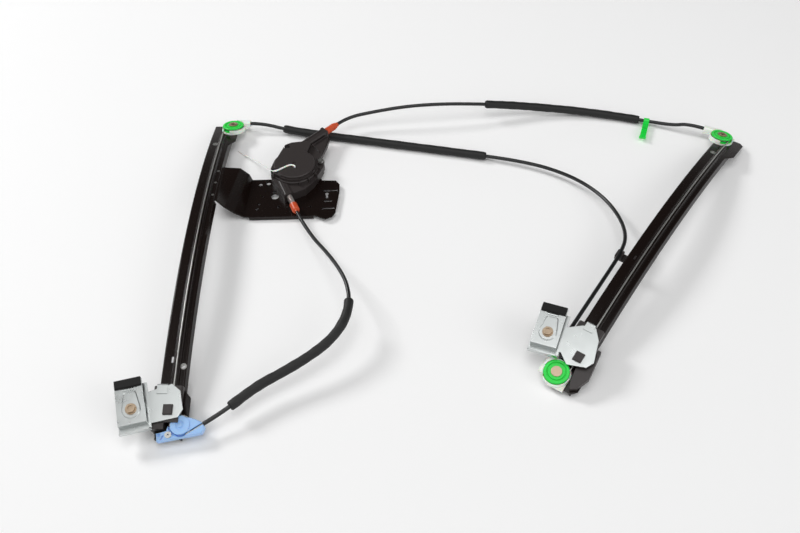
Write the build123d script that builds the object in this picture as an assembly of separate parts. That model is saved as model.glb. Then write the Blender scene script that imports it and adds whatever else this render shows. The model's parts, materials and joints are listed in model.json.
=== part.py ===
"""Cable window regulator with two rails.

A motor (not part of this assembly) turns the cable drum. One endless cable runs from the drum
through an outer cable to the head of the right rail, down that rail, back through a second outer
cable to the head of the left rail, down that rail, and home through a third. Each rail guides a
carrier that clamps the lower edge of the glass, so both carriers climb together.

The frame is millimetres, +Z up, with the regulator lying on its back: the rails arch upwards and
stand on their four ends at Z = 0. The parts are drawn about a plan point near the drum and moved
at the end, so that the origin is the middle of the footprint.

Rails, pulleys and carriers are drawn in frames of their own. A rail frame sits at the centre of
the rail's arc, with X across the rail and Y towards its head. A frame on the rail has its origin
on the drive wire, X across, Y along the wire towards the head, and Z out of the arch.
"""
from build123d import *

import os
from collections import namedtuple
from math import asin, atan2, cos, degrees, hypot, pi, radians, sin, sqrt

# ---------------------------------------------------------------- driving dimensions

SHEET = 1.5                 # steel sheet of the rails and the mounting plate
RAIL_RADIUS = 1000.0        # arc of the drive wire over both rails
WIRE_END_HEIGHT = 17.2      # height of the wire where it meets a pulley
RAIL_OVERRUN = 14.0         # rail beyond the wire's tangent point, at each end
CARRIER_TRAVEL = 420.0      # along the wire

WIRE_D = 1.8
OUTER_CABLE_D = 5.2
FOAM_D = 12.5
FOAM_BORE_D = 5.6

Rail = namedtuple("Rail", "name top turn chord rest lug clamp slider_high retainer")
# top: plan place of the upper tangent point.  turn: degrees from +Y.  rest: from the lower
# tangent point to the carrier's origin on the wire.  lug: across from the wire to the slider's lug.
# clamp: clamp bolt, across and along from the carrier's origin.  slider_high: the slider's upper
# end.  retainer: the two sides of the retainer, across.
LEFT = Rail("left", (-346.5, 265.9), -1.04, 525.0, 16.8, -1.7, (-40.9, -2.6), 31.2, (-17.0, -4.6))
RIGHT = Rail("right", (403.8, 207.8), -35.74, 509.5, 27.0, 2.1, (-42.9, 6.6), 47.0, (-11.0, 1.0))

HEAD, FOOT = 1, -1          # the two ends of a rail
CLAMP_LEAN = 12.7           # the clamps stand square to the glass edge, not to the rails

PulleySeat = namedtuple("PulleySeat", "name rail end side leave nose")
# side: +1 if the pulley stands right of the wire.  leave: direction of the outgoing cable, in
# degrees from X.  nose: length of the straight run from the pulley to the outer cable.
LEFT_HEAD = PulleySeat("left_head", LEFT, HEAD, 1, -3.0, 24.0)
RIGHT_HEAD = PulleySeat("right_head", RIGHT, HEAD, -1, 192.6, 27.5)
RIGHT_FOOT = PulleySeat("right_foot", RIGHT, FOOT, -1, 92.0, 20.0)
LEFT_FOOT = PulleySeat("left_foot", LEFT, FOOT, 1, 33.0, 23.0)

PULLEY_D = 31.0
GROOVE_RADIUS = 12.5        # radius of the wire's centre line on a pulley
PULLEY_THICK = 7.0
PULLEY_BORE = 6.0
RIVET_RADIUS = 3.4

# Rail section, across and out from the wire
WEB_TOP = -5.5
LEFT_EDGE = -18.0
RIGHT_EDGE = 11.0
LEFT_LIP = -12.5
RIGHT_LIP = -14.0
RIB_HALF = 2.4
FLARE_EDGE = 20.0
FLARE_LENGTH = 46.0

DRUM_CENTRE = (-235.0, 166.0)
DRUM_RADIUS = 25.0          # centre line of the wire on the drum
DRUM_LOW, DRUM_HIGH = 9.0, 27.0
UPPER_EXIT = 45.0           # directions in which the cables leave the drum housing
LOWER_EXIT = -68.0
UPPER_EXIT_Z, LOWER_EXIT_Z = 22.0, 15.5
UPPER_ARM, LOWER_ARM = 83.0, 47.0
UPPER_FERRULE, LOWER_FERRULE = 25.0, 33.0    # from the arm's end to the outer cable

PLATE_TOP = 7.0             # main panel of the mounting plate

FOOTPRINT_SHIFT = (-1.108, -4.069, 0.0257)    # from the drawing's origin to the footprint's middle

FIT = 0.06                  # running clearance of a bore on its pin
GAP = 0.3                   # clearance between faces that slide past each other


# ---------------------------------------------------------------- frames and helpers

def arc_frame(rail):
    """Location of the rail's arc centre, X across the rail and Y towards its head."""
    half = rail.chord / 2
    drop = sqrt(RAIL_RADIUS ** 2 - half ** 2)
    turn = radians(rail.turn)
    x = rail.top[0] + half * sin(turn)
    y = rail.top[1] - half * cos(turn)
    return Pos(x, y, WIRE_END_HEIGHT - drop) * Rot(0, 0, rail.turn)


def half_angle(rail):
    """Angle from the top of the arch to a tangent point."""
    return degrees(asin(rail.chord / 2 / RAIL_RADIUS))


def arc_angle(length):
    """Angle that a length of wire takes on the arch."""
    return degrees(length / RAIL_RADIUS)


def wire_frame(rail, from_foot):
    """Location on the wire, at a length of wire from the lower tangent point."""
    angle = arc_angle(from_foot) - half_angle(rail)
    return arc_frame(rail) * Rot(-angle, 0, 0) * Pos(0, 0, RAIL_RADIUS)


def wire_length(rail):
    """Length of wire between the two tangent points."""
    return radians(2 * half_angle(rail)) * RAIL_RADIUS


def end_frame(rail, end):
    """Location of a tangent point."""
    return wire_frame(rail, wire_length(rail) if end == HEAD else 0.0)


def on_arc(rail, face, start, stop):
    """Carry a section face round the arch between two lengths from the lower tangent point.

    The face is drawn with X across and Y out from the wire.
    """
    low = arc_angle(start) - half_angle(rail)
    high = arc_angle(stop) - half_angle(rail)
    section = Plane.XZ * Pos(0, RAIL_RADIUS) * face
    return arc_frame(rail) * Rot(-high, 0, 0) * revolve(section, Axis.X, high - low)


def rectangle(left, right, low, high):
    """Rectangle face between two pairs of coordinates."""
    return Pos((left + right) / 2, (low + high) / 2) * Rectangle(right - left, high - low)


def block(x, y, z):
    """Box between pairs of coordinates."""
    size = [high - low for low, high in (x, y, z)]
    return Pos(*[(low + high) / 2 for low, high in (x, y, z)]) * Box(*size)


def cylinder(radius, low, high, at=(0, 0)):
    """Upright cylinder between two heights."""
    return Pos(at[0], at[1], (low + high) / 2) * Cylinder(radius, high - low)


def prism(points, low, high, radius=0.0):
    """Polygon drawn in plan and raised between two heights, with its corners rounded."""
    face = make_face(Polyline(*points, close=True))
    if radius:
        face = fillet(face.vertices(), radius)
    return Pos(0, 0, low) * extrude(face, high - low)


def slot(start, end, width, low, high):
    """Round-ended bar between two plan points."""
    length = hypot(end[0] - start[0], end[1] - start[1])
    turn = degrees(atan2(end[1] - start[1], end[0] - start[0]))
    middle = Pos((start[0] + end[0]) / 2, (start[1] + end[1]) / 2, low)
    return middle * Rot(0, 0, turn) * extrude(SlotCenterToCenter(length, width), high - low)


def sheet_section(points, thickness, bend):
    """Face of a bent sheet whose middle line runs through the points."""
    middle = FilletPolyline(*points, radius=bend)
    return make_face(offset(middle, thickness / 2, side=Side.BOTH, kind=Kind.INTERSECTION))


def tube_along(path, radius, bore=0.0):
    """Round bar, or tube, swept along a path."""
    plane = Plane(origin=path @ 0, z_dir=path % 0)
    section = plane * Circle(radius)
    if bore:
        section -= plane * Circle(bore)
    return sweep(section, path)


def unit(angle):
    """Plan direction at an angle in degrees."""
    return Vector(cos(radians(angle)), sin(radians(angle)))


# ---------------------------------------------------------------- rails

def rail_section(ribbed):
    """Channel section: a lip on each side and, under the wire, a raised rib that carries it."""
    half = SHEET / 2
    middle = WEB_TOP - half
    rib_top = -WIRE_D / 2 - 0.1 - half
    points = [(LEFT_EDGE + half, LEFT_LIP + half), (LEFT_EDGE + half, middle)]
    if ribbed:
        points += [(-RIB_HALF * 1.9, middle), (-RIB_HALF, rib_top)]
        points += [(RIB_HALF, rib_top), (RIB_HALF * 1.9, middle)]
    points += [(RIGHT_EDGE - half, middle), (RIGHT_EDGE + 1.4, RIGHT_LIP + half)]
    return sheet_section(points, SHEET, 1.2)


def pulley_centre(seat):
    """Pulley axis in its end frame."""
    return Vector(seat.side * GROOVE_RADIUS, 0)


def leave_point(seat):
    """Where the outgoing wire leaves the pulley, in its end frame."""
    left_hand = 1 if seat.side * seat.end > 0 else -1
    return pulley_centre(seat) + unit(seat.leave + 90 * left_hand) * GROOVE_RADIUS


def nose_point(seat):
    """Where the outer cable meets the housing, in its end frame."""
    return leave_point(seat) + unit(seat.leave) * seat.nose


def build_rail(rail, seats):
    """One rail: pressed channel with flared ends, pierced for its fastenings."""
    length = wire_length(rail)
    rib_end = 22.0
    stretches = [(-RAIL_OVERRUN, rib_end, False), (rib_end, length - rib_end, True),
                 (length - rib_end, length + RAIL_OVERRUN, False)]
    body = None
    for start, stop, ribbed in stretches:
        piece = on_arc(rail, rail_section(ribbed), start, stop)
        body = piece if body is None else body + piece

    flare = rectangle(RIGHT_EDGE - 2.0, FLARE_EDGE, WEB_TOP - SHEET, WEB_TOP)
    slope = 12.0
    for end in (HEAD, FOOT):
        inner = FLARE_LENGTH
        spans = {FOOT: (-RAIL_OVERRUN, inner), HEAD: (length - inner, length + RAIL_OVERRUN)}
        strip = on_arc(rail, flare, *spans[end])
        root, rim = end * -(inner + 1), end * -(inner - slope)
        wedge = [(RIGHT_EDGE - 0.4, root), (FLARE_EDGE + 1, root), (FLARE_EDGE + 1, rim)]
        body += strip - end_frame(rail, end) * prism(wedge, -12, 2)
        corner = end * RAIL_OVERRUN
        bevel = [(FLARE_EDGE - 7, corner + end), (FLARE_EDGE + 1, corner + end),
                 (FLARE_EDGE + 1, corner - end * 7)]
        body -= end_frame(rail, end) * prism(bevel, -20, 2)
    for seat in seats:
        centre = pulley_centre(seat)
        place = end_frame(rail, seat.end)
        body -= place * cylinder(RIVET_RADIUS, -12, 0, tuple(centre)[:2])
        if seat.side > 0:
            body -= place * cylinder(6.4, -20, WEB_TOP - SHEET, tuple(centre)[:2])
    for from_foot, across in insert_places(rail):
        body -= wire_frame(rail, from_foot) * cylinder(INSERT_RADIUS, -9.5, -3, (across, 0))
    for from_foot, across in slot_places(rail):
        body -= wire_frame(rail, from_foot) * slot((across, -3), (across, 3), 2.6, -9, -3)
    if rail is LEFT:
        body -= end_frame(rail, FOOT) * cylinder(GUIDE_RIVET_RADIUS, -12, 0, GUIDE_RIVET)
        gap_start, gap_stop = foot_at(PLATE_LOW_Y) - 1.5, foot_at(PLATE_HIGH_Y) + 1.5
        wall = rectangle(5.0, 20.0, -20.0, WEB_TOP - SHEET)
        body -= on_arc(rail, wall, gap_start, gap_stop)
        for place in plate_rivet_places():
            body -= place * cylinder(PLATE_RIVET_RADIUS, -12, 0)
    return body


INSERT_RADIUS = 3.9
INSERT_THREAD = 2.5


def insert_places(rail):
    """Threaded bushes in the web: length from the foot, and place across."""
    return [(76.0, 7.0) if rail is LEFT else (73.0, -10.0), (wire_length(rail) - 45.0, -8.5)]


def slot_places(rail):
    """Small slots in the web."""
    return [(85.0, -7.0)] if rail is LEFT else [(CLIP_PLACE, -8.5)]


def build_inserts():
    """Threaded bushes, flush with the web, that bolt the rails to the door."""
    bushes = []
    for rail in (LEFT, RIGHT):
        for from_foot, across in insert_places(rail):
            bush = cylinder(INSERT_RADIUS, -9.5, WEB_TOP) - cylinder(INSERT_THREAD, -13, -5)
            bushes.append(wire_frame(rail, from_foot) * Pos(across, 0, 0) * bush)
    return bushes


# ---------------------------------------------------------------- pulleys and their housings

def build_pulley(seat):
    """Grooved pulley, with a dished face between its hub and its rim."""
    half, rim = PULLEY_THICK / 2, PULLEY_D / 2
    floor = GROOVE_RADIUS - WIRE_D / 2 - 0.1
    bore = PULLEY_BORE + FIT
    profile = [(bore, -half), (rim - 0.4, -half), (rim, -half + 0.5), (rim, -1.9),
               (floor, -1.1), (floor, 1.1), (rim, 1.9), (rim, half - 0.5), (rim - 0.6, half),
               (12.2, half), (11.9, half - 1.5), (10.6, half - 1.5), (10.2, half), (bore, half)]
    face = make_face(Polyline(*profile, close=True))
    wheel = revolve(Plane.XZ * face, Axis.Z)
    return end_frame(seat.rail, seat.end) * Pos(pulley_centre(seat)) * wheel


def build_pulley_rivet(seat):
    """Rivet through the housing's boss and the rail: hollow at the heads, capped at the foot."""
    place = end_frame(seat.rail, seat.end) * Pos(pulley_centre(seat))
    low, high = WEB_TOP - SHEET - 1.05, PULLEY_THICK / 2 + GAP
    rivet = cylinder(RIVET_RADIUS, low, high) + cylinder(6.7, high, high + 0.8)
    rivet += cylinder(3.9, low, low + 1.0)
    if seat.end == FOOT:
        rivet -= cylinder(2.2, low - 1, high - 1.0)
        return place * rivet
    rivet += cylinder(4.8, high, high + 1.5)
    return place * (rivet - cylinder(3.4, high + 0.7, high + 2) - cylinder(2.2, low - 1, high + 2))


HOUSING_FLOOR = -3.8        # top of the housing's base, under the pulley
NOSE_TOP = 4.0
WALL_TOP = 0.9              # the wall round a pulley ends below the pulley's upper flange
WALL_REACH = 1.8            # from the pulley's rim to the outside of the wall


def build_pulley_housing(seat):
    """Moulded housing: base, low wall round the pulley and a nose that stops the outer cable."""
    centre = pulley_centre(seat)
    rim = PULLEY_D / 2
    base = cylinder(rim + WALL_REACH, WEB_TOP, HOUSING_FLOOR, tuple(centre)[:2])
    foot_side = -seat.side * 4.0
    corners = sorted((seat.side * 15.0, foot_side)), sorted((0.0, seat.end * (rim + WALL_REACH)))
    base += block(*corners, (WEB_TOP, HOUSING_FLOOR))

    aim = Rot(0, 0, seat.leave)
    run = seat.nose
    nose_bar = block((2.0, run), (-5.6, 5.6), (WEB_TOP, NOSE_TOP))
    nose_bar = chamfer(nose_bar.edges().filter_by(Axis.X).group_by(Axis.Z)[-1], 2.0)
    gusset = block((-6.0, run * 0.6), (-9.0, 9.0), (WEB_TOP, HOUSING_FLOOR))
    housing = base + Pos(leave_point(seat)) * aim * (nose_bar + gusset)

    wall = cylinder(rim + WALL_REACH, WEB_TOP, WALL_TOP) - cylinder(rim + 0.5, WEB_TOP - 1, 9)
    entry = block((-9.0, 9.0), sorted((0.0, -seat.end * 24.0)), (-9, 9))
    wall -= Pos(-centre) * entry
    housing += Pos(centre) * wall
    housing -= Pos(centre) * cylinder(rim + 0.5, HOUSING_FLOOR, 9)

    housing += Pos(centre) * cylinder(PULLEY_BORE, HOUSING_FLOOR - 0.5, PULLEY_THICK / 2 + 0.1)
    housing -= Pos(centre) * cylinder(RIVET_RADIUS, -12, 12)
    bore = Rot(0, 90, 0) * Cylinder(WIRE_D / 2 + 0.5, 2 * run + 30)
    housing -= Pos(leave_point(seat)) * aim * bore
    rail_way = block((-1.6, 1.6), sorted((0.0, -seat.end * 24.0)), (-1.6, 9))
    housing -= rail_way
    return end_frame(seat.rail, seat.end) * housing


def build_foot_guide(seat):
    """Fixed guide at the foot of the left rail: the wire slides round a disc in a slot."""
    centre, nose, leave = pulley_centre(seat), nose_point(seat), leave_point(seat)
    outline = [(-14.3, -9.5), (-12.4, -19.0), (38.0, -9.1), (41.1, -1.4), (37.0, 4.0),
               (28.9, 7.4), (21.1, 9.6), (7.6, 9.6), (2.8, 6.4), (-1.6, -1.0), (-2.6, -6.4)]
    top = 2.8
    guide = prism(outline, WEB_TOP, top)
    guide = chamfer(guide.edges().group_by(Axis.Z)[-1], 0.8)
    guide += Pos(centre) * cylinder(GROOVE_RADIUS - 1.4, 0, top + 0.9)
    guide -= Pos(centre) * cylinder(5.2, top - 0.2, top + 2)
    guide += Pos(centre) * cylinder(2.6, top - 0.3, top + 0.7)
    ring = cylinder(GROOVE_RADIUS + 1.3, -1.8, 9) - cylinder(GROOVE_RADIUS - 1.3, -2, 9)
    turned_in = seat.leave - 90
    keep = prism([(0, 0), (-30, 0), (-30, -30), (0, -30)], -2, 9)
    keep += prism([(0, 0), (0, -30), tuple(unit(turned_in) * 40)[:2]], -2, 9)
    guide -= Pos(centre) * (ring & keep)
    guide -= block((-1.3, 1.3), (0.0, 20.0), (-1.8, 9))
    slit = block((0.0, seat.nose + 8), (-1.3, 1.3), (-1.8, 9))
    guide -= Pos(leave) * Rot(0, 0, seat.leave) * slit
    beyond = Pos(nose) * Rot(0, 0, seat.leave) * block((0, 12), (-14, 12), (-9, 9))
    guide -= beyond
    guide -= cylinder(GUIDE_RIVET_RADIUS, -12, 9, GUIDE_RIVET)
    guide -= block((-12.4, -9.0), (-13.2, -10.0), (0.8, 9))
    guide -= slot((-7.4, -16.0), (-5.8, -12.6), 1.4, 0.8, 9)
    return end_frame(seat.rail, seat.end) * guide


GUIDE_RIVET = (0.3, -11.4)
GUIDE_RIVET_RADIUS = 2.6


def build_guide_rivet(seat):
    """Blind rivet that fixes the guide to the foot of the left rail."""
    low = WEB_TOP - SHEET - 1.4
    rivet = cylinder(GUIDE_RIVET_RADIUS, low, 2.8, GUIDE_RIVET)
    rivet += cylinder(3.9, 2.8, 3.9, GUIDE_RIVET) + cylinder(3.6, low, low + 1.2, GUIDE_RIVET)
    rivet -= cylinder(1.2, 1.5, 5, GUIDE_RIVET)
    return end_frame(seat.rail, seat.end) * rivet


def end_run(seat):
    """Wire from the outer cable's end over the pulley to its tangent point on the rail."""
    place = end_frame(seat.rail, seat.end)
    centre, leave, nose = pulley_centre(seat), leave_point(seat), nose_point(seat)
    straight = Line(tuple(nose), tuple(leave))
    towards = (leave - centre).normalized() + (Vector(0, 0) - centre).normalized()
    middle = centre + towards.normalized() * GROOVE_RADIUS
    bend = ThreePointArc(tuple(leave), tuple(middle), (0, 0, 0))
    return [place * straight, place * bend]


def build_wire(rail, head_seat, foot_seat):
    """Bare wire from outer cable to outer cable, along the crown of one rail."""
    middle = wire_frame(rail, wire_length(rail) / 2)
    start, stop = end_frame(rail, HEAD), end_frame(rail, FOOT)
    crown = ThreePointArc(start.position, middle.position, stop.position)
    edges = end_run(head_seat) + [crown] + end_run(foot_seat)
    return tube_along(Wire([piece.edge() for piece in edges]), WIRE_D / 2)


def build_buffer():
    """Rubber stop that ends the right carrier's travel at the foot of its rail."""
    outline = [(10.4, -11.5), (17.6, -6.5), (24.6, 10.4), (20.9, 48.6), (16.5, 49.0),
               (13.4, 20.0), (5.6, 19.4), (4.6, 15.3), (7.3, -1.6)]
    buffer = prism(outline, WEB_TOP, 1.5, 1.2)
    buffer -= slot((16.6, 24.0), (17.6, 40.0), 3.0, -1.5, 9)
    return end_frame(RIGHT, FOOT) * buffer


# ---------------------------------------------------------------- carriers

SLIDER_TOP = 6.0
SLIDER_LOW = -5.0           # lower end of the slider, along from the carrier's origin
CHANNEL_HALF = 6.2          # half width of the channel over the rib
LEG_LENGTH = 16.5           # leg of the left slider beside the foot guide
BRACKET_TOP = 8.0
INNER_PAD_TOP = 9.2
JAW_LOW, JAW_HIGH = 16.2, 17.7
JAW_LEFT, JAW_RIGHT = -17.0, 15.0
JAW_HEEL, JAW_TOP = -17.5, 36.0
BACK_HALF = 18.5            # the bracket's plate behind the glass
BACK_LOW, BACK_HIGH = -25.0, 33.0
TONGUE_HALF = 10.8
TONGUE_RISE = 1.5
PAD_LOW = 26.0              # lower edge of the outer pad's flap
BOLT_RADIUS = 3.0
LUG = 5.5                   # half width of the square lug


def carrier_frame(rail):
    """Frame on the wire at the carrier's origin, at rest."""
    return wire_frame(rail, rail.rest)


def clamp_frame(rail):
    """Frame at the clamp bolt, Y up the glass."""
    return carrier_frame(rail) * Pos(rail.clamp[0], rail.clamp[1], 0) * Rot(0, 0, CLAMP_LEAN)


def build_slider(rail):
    """Plastic slider: straddles the wire, hooks under the rail's left lip and carries the lug."""
    under = WEB_TOP + GAP
    outer = LEFT_EDGE - GAP - 3.0
    hook_low = LEFT_LIP - GAP - 2.8
    inner = LEFT_EDGE + SHEET + 3.2
    left_half = [(outer, hook_low), (inner, hook_low), (inner, LEFT_LIP - GAP),
                 (LEFT_EDGE - GAP, LEFT_LIP - GAP), (LEFT_EDGE - GAP, under),
                 (-CHANNEL_HALF, under), (-CHANNEL_HALF, 0.2)]
    right_half = [(-3.0, 1.6), (3.0, 1.6), (CHANNEL_HALF, 0.2), (CHANNEL_HALF, under),
                  (RIGHT_EDGE - 0.5, under), (RIGHT_EDGE + 1.5, -2.0), (RIGHT_EDGE + 1.5, 3.5),
                  (RIGHT_EDGE - 0.5, SLIDER_TOP), (outer + 2, SLIDER_TOP), (outer, SLIDER_TOP - 2)]
    low, high = rail.rest + SLIDER_LOW, rail.rest + rail.slider_high - RETAINER_SHEET
    body = on_arc(rail, make_face(Polyline(*left_half, *right_half, close=True)), low, high)
    if rail is LEFT:
        leg = make_face(Polyline(*left_half, (-CHANNEL_HALF, 4.2), (outer, 4.2), close=True))
        body += on_arc(rail, leg, low - LEG_LENGTH, low)
        deck = rectangle(outer + 2, RIGHT_EDGE - 0.5, 4.2, SLIDER_TOP)
        body += on_arc(rail, deck, low - 9.0, low)
    lug = block((rail.lug - LUG, rail.lug + LUG), (-LUG - 0.5, LUG + 0.5), (4.5, BRACKET_TOP + 3.0))
    lug = chamfer(lug.edges().group_by(Axis.Z)[-1], 0.8)
    return body + carrier_frame(rail) * lug


def bracket_outline(rail):
    """Rail end of the bracket: a plate with chamfered corners, across and along from its origin."""
    if rail is LEFT:
        return [(-18.8, -15.5), (10.6, -8.8), (15.3, 0.8), (10.2, 23.1), (-0.1, 31.3),
                (-27.4, 21.7), (-34.0, 19.0), (-28.0, -16.0)]
    return [(-18.8, -4.9), (-6.3, -15.0), (16.0, -7.6), (20.9, 2.4), (12.5, 30.4), (2.0, 43.8),
            (-13.4, 39.5), (-27.5, 28.9), (-36.0, 24.0), (-30.0, -5.0)]


def build_bracket(rail):
    """Zinc-plated bracket: rail plate and back plate of the glass clamp in one pressing."""
    low, high = SLIDER_TOP, BRACKET_TOP
    plate = carrier_frame(rail) * prism(bracket_outline(rail), low, high)
    across = (-BACK_HALF, BACK_HALF)
    backing = block(across, (BACK_LOW, BACK_HIGH), (low, high))
    lip = block(across, (BACK_LOW, BACK_LOW + 1.6), (low, high + 5.0))
    lip = chamfer(lip.edges().filter_by(Axis.Y).group_by(Axis.Z)[-1], 2.4)
    backing += lip
    backing -= cylinder(BOLT_RADIUS + 0.4, 0, 20)
    bracket = plate + clamp_frame(rail) * backing
    edge = LUG + 0.1
    window = block((rail.lug - edge, rail.lug + edge), (-LUG - 0.6, LUG + 0.6), (0, 20))
    return bracket - carrier_frame(rail) * window


def build_jaw(rail):
    """Pressed front jaw: a raised tongue round the bolt, an embossed bar and a heel that bears
    on the bracket."""
    across = (JAW_LEFT, JAW_RIGHT)
    jaw = block(across, (JAW_HEEL, JAW_TOP), (JAW_LOW, JAW_HIGH))
    jaw += block(across, (JAW_HEEL, JAW_HEEL + 1.5), (BRACKET_TOP + 0.1, JAW_HIGH))
    for side in across:
        edge = sorted((side, side - (1.5 if side > 0 else -1.5)))
        jaw += block(edge, (JAW_HEEL, 6.0), (JAW_LOW - 3.0, JAW_HIGH))
    jaw = fillet(jaw.edges().filter_by(Axis.X).group_by(Axis.Z)[-1].sort_by(Axis.Y)[:1], 1.2)
    tongue = prism(tongue_outline(0.0), JAW_LOW, JAW_HIGH + TONGUE_RISE, 3.0)
    tongue += cylinder(TONGUE_HALF, JAW_LOW, JAW_HIGH + TONGUE_RISE)
    tongue = chamfer(tongue.edges().group_by(Axis.Z)[-1], 1.0)
    relief = prism(tongue_outline(2.2), 0, JAW_HIGH, 1.0) + cylinder(TONGUE_HALF - 2.2, 0, JAW_HIGH)
    bar = Pos(-1.0, 24.6, JAW_HIGH - 0.6) * Rot(0, 90, 0) * Cylinder(1.7, 14.0)
    jaw = jaw + tongue + bar - relief
    jaw -= block((-9.0, 7.0), (22.4, 26.8), (JAW_LOW - 3, JAW_LOW))
    return clamp_frame(rail) * (jaw - cylinder(BOLT_RADIUS + 0.3, 0, 30))


def tongue_outline(inset):
    """Upper part of the jaw's tongue, narrowing away from the bolt."""
    half, top = TONGUE_HALF - 0.2 - inset, 21.4 - inset
    return [(-half, -1.0), (half, -1.0), (half, 3.0), (half - 3.4, top), (-half + 3.4, top), (-half, 3.0)]


def build_clamp_bolt(rail):
    """Flanged hexagon bolt of the glass clamp."""
    seat = JAW_HIGH + TONGUE_RISE
    bolt = cylinder(BOLT_RADIUS, 0.5, seat)
    bolt += cylinder(6.6, seat, seat + 1.2)
    hexagon = Pos(0, 0, seat + 1.2) * extrude(RegularPolygon(5.0, 6, major_radius=False), 3.2)
    hexagon -= cylinder(3.2, seat + 3.0, seat + 6)
    return clamp_frame(rail) * (bolt + hexagon)


def build_clamp_nut(rail):
    """Square weld nut under the bracket."""
    nut = block((-5.5, 5.5), (-5.5, 5.5), (SLIDER_TOP - 4.5, SLIDER_TOP))
    nut = chamfer(nut.edges().filter_by(Axis.Z), 1.0)
    return clamp_frame(rail) * (nut - cylinder(BOLT_RADIUS + FIT, 0, 20))


def build_inner_pad(rail):
    """Rubber liner on the bracket."""
    pad = block((JAW_LEFT + 1, JAW_RIGHT - 1), (-11.0, BACK_HIGH - 0.5), (BRACKET_TOP, INNER_PAD_TOP))
    return clamp_frame(rail) * (pad - cylinder(7.0, 0, 20))


def build_outer_pad(rail):
    """Rubber liner of the jaw, folded over the jaw's upper edge."""
    across = (JAW_LEFT + 0.8, JAW_RIGHT - 0.8)
    lip = (JAW_TOP, JAW_TOP + 1.2)
    inside = block(across, (27.2, lip[1]), (JAW_LOW - 1.2, JAW_LOW))
    fold = block(across, lip, (JAW_LOW - 1.2, JAW_HIGH + 2.6))
    flap = block(across, (PAD_LOW + 0.6, lip[1]), (JAW_HIGH, JAW_HIGH + 2.6))
    flap = chamfer(flap.edges().filter_by(Axis.X).group_by(Axis.Z)[-1].sort_by(Axis.Y)[:1], 1.4)
    return clamp_frame(rail) * (inside + fold + flap)


def build_retainer(rail):
    """Bent clip over the slider's upper end that holds the wire's crimp."""
    half = RETAINER_SHEET / 2
    end = rail.slider_high - half + GAP
    strap = sheet_section([(end - 11.0, BRACKET_TOP + half), (end, BRACKET_TOP + half), (end, 2.6)],
                          RETAINER_SHEET, 1.2)
    low, high = rail.retainer
    clip = Rot(0, 0, 90) * Rot(90, 0, 0) * extrude(strap, high - low)
    return carrier_frame(rail) * Pos(low, 0, 0) * clip


RETAINER_SHEET = 1.2


# ---------------------------------------------------------------- mounting plate

def rail_point(rail, from_foot, across, out):
    """Point given by its place on a rail."""
    return tuple((wire_frame(rail, from_foot) * Pos(across, 0, out)).position)


PLATE_LOW_Y, PLATE_HIGH_Y = 84.0, 158.5
PLATE_RIVET_RADIUS = 2.0
PLATE_HOLES = [(-284.7, 147.9, 3.0), (-273.4, 149.9, 3.0), (-284.0, 108.3, 2.0),
               (-286.0, 98.6, 2.3), (-262.6, 123.2, 5.5), (-264.0, 132.5, 2.6),
               (-279.4, 123.8, 1.4), (-256.5, 102.5, 2.2), (-244.3, 102.7, 1.8),
               (-211.1, 101.3, 1.6)]


def build_plate():
    """Mounting plate: a panel near the door skin, a ramp up to the rail and a side tab."""
    low, high = PLATE_TOP - SHEET, PLATE_TOP
    panel = prism([(-298.0, PLATE_LOW_Y), (-204.0, PLATE_LOW_Y), (-196.0, 79.0), (-189.0, 76.4),
                   (-180.0, 80.6), (-175.5, 88.8), (-171.0, 130.0), (-171.0, 145.0),
                   (-176.5, 153.0), (-196.0, 154.0), (-199.0, PLATE_HIGH_Y), (-298.0, PLATE_HIGH_Y)],
                  low, high)
    panel += cylinder(35.0, low, high, DRUM_CENTRE)
    panel -= cylinder(21.0, 0, 20, DRUM_CENTRE)

    lip = block((-296.0, -206.0), (PLATE_LOW_Y - SHEET, PLATE_LOW_Y), (1.5, high))
    panel += lip

    foot_low = foot_at(PLATE_LOW_Y)
    foot_high = foot_at(PLATE_HIGH_Y)
    seat = on_arc(LEFT, rectangle(-3.0, 14.0, WEB_TOP - 2 * SHEET, WEB_TOP - SHEET),
                  foot_low, foot_high)
    middle = WEB_TOP - 1.5 * SHEET
    upper_start = rail_point(LEFT, foot_high, 12.0, middle)
    lower_start = rail_point(LEFT, foot_low, 12.0, middle)
    flat = PLATE_TOP - SHEET / 2
    upper = [(upper_start[0], upper_start[2]), (-312.0, 30.0), (-301.0, 18.0), (-297.5, flat),
             (-290.0, flat)]
    lower = [(lower_start[0], lower_start[2]), (-328.0, 27.0), (-316.0, 15.0), (-303.5, flat),
             (-290.0, flat)]
    faces = []
    for points, y in ((lower, PLATE_LOW_Y), (upper, PLATE_HIGH_Y)):
        outline = make_face(offset(Polyline(*points), SHEET / 2, side=Side.BOTH,
                                   kind=Kind.INTERSECTION))
        faces.append(Plane.XZ.offset(-y) * outline)
    ramp = loft(Sketch() + faces, ruled=True)
    plate = panel + ramp + seat
    for x, y, radius in PLATE_HOLES:
        plate -= cylinder(radius, 0, 20, (x, y))
    for x, y in EARS:
        plate -= cylinder(SCREW_RADIUS, 0, 20, (DRUM_CENTRE[0] + x, DRUM_CENTRE[1] + y))
    plate -= slot((-193.0, 132.5), (-174.5, 133.2), 3.2, 0, 20)
    plate -= slot((-194.0, 96.8), (-178.5, 97.6), 3.2, 0, 20)
    plate -= slot((-191.5, 112.0), (-182.5, 111.8), 3.2, 0, 20)
    plate -= slot((-188.6, 127.5), (-188.4, 119.0), 3.0, 0, 20)
    plate -= cylinder(2.7, 0, 20, (-188.6, 126.5))
    for place in plate_rivet_places():
        plate -= place * cylinder(PLATE_RIVET_RADIUS, -12, 0)
    return plate


def foot_at(y):
    """Length from the left rail's foot at a plan Y."""
    middle = arc_frame(LEFT).position.Y
    angle = degrees(asin((y - middle) / cos(radians(LEFT.turn)) / RAIL_RADIUS))
    return radians(angle + half_angle(LEFT)) * RAIL_RADIUS


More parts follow.
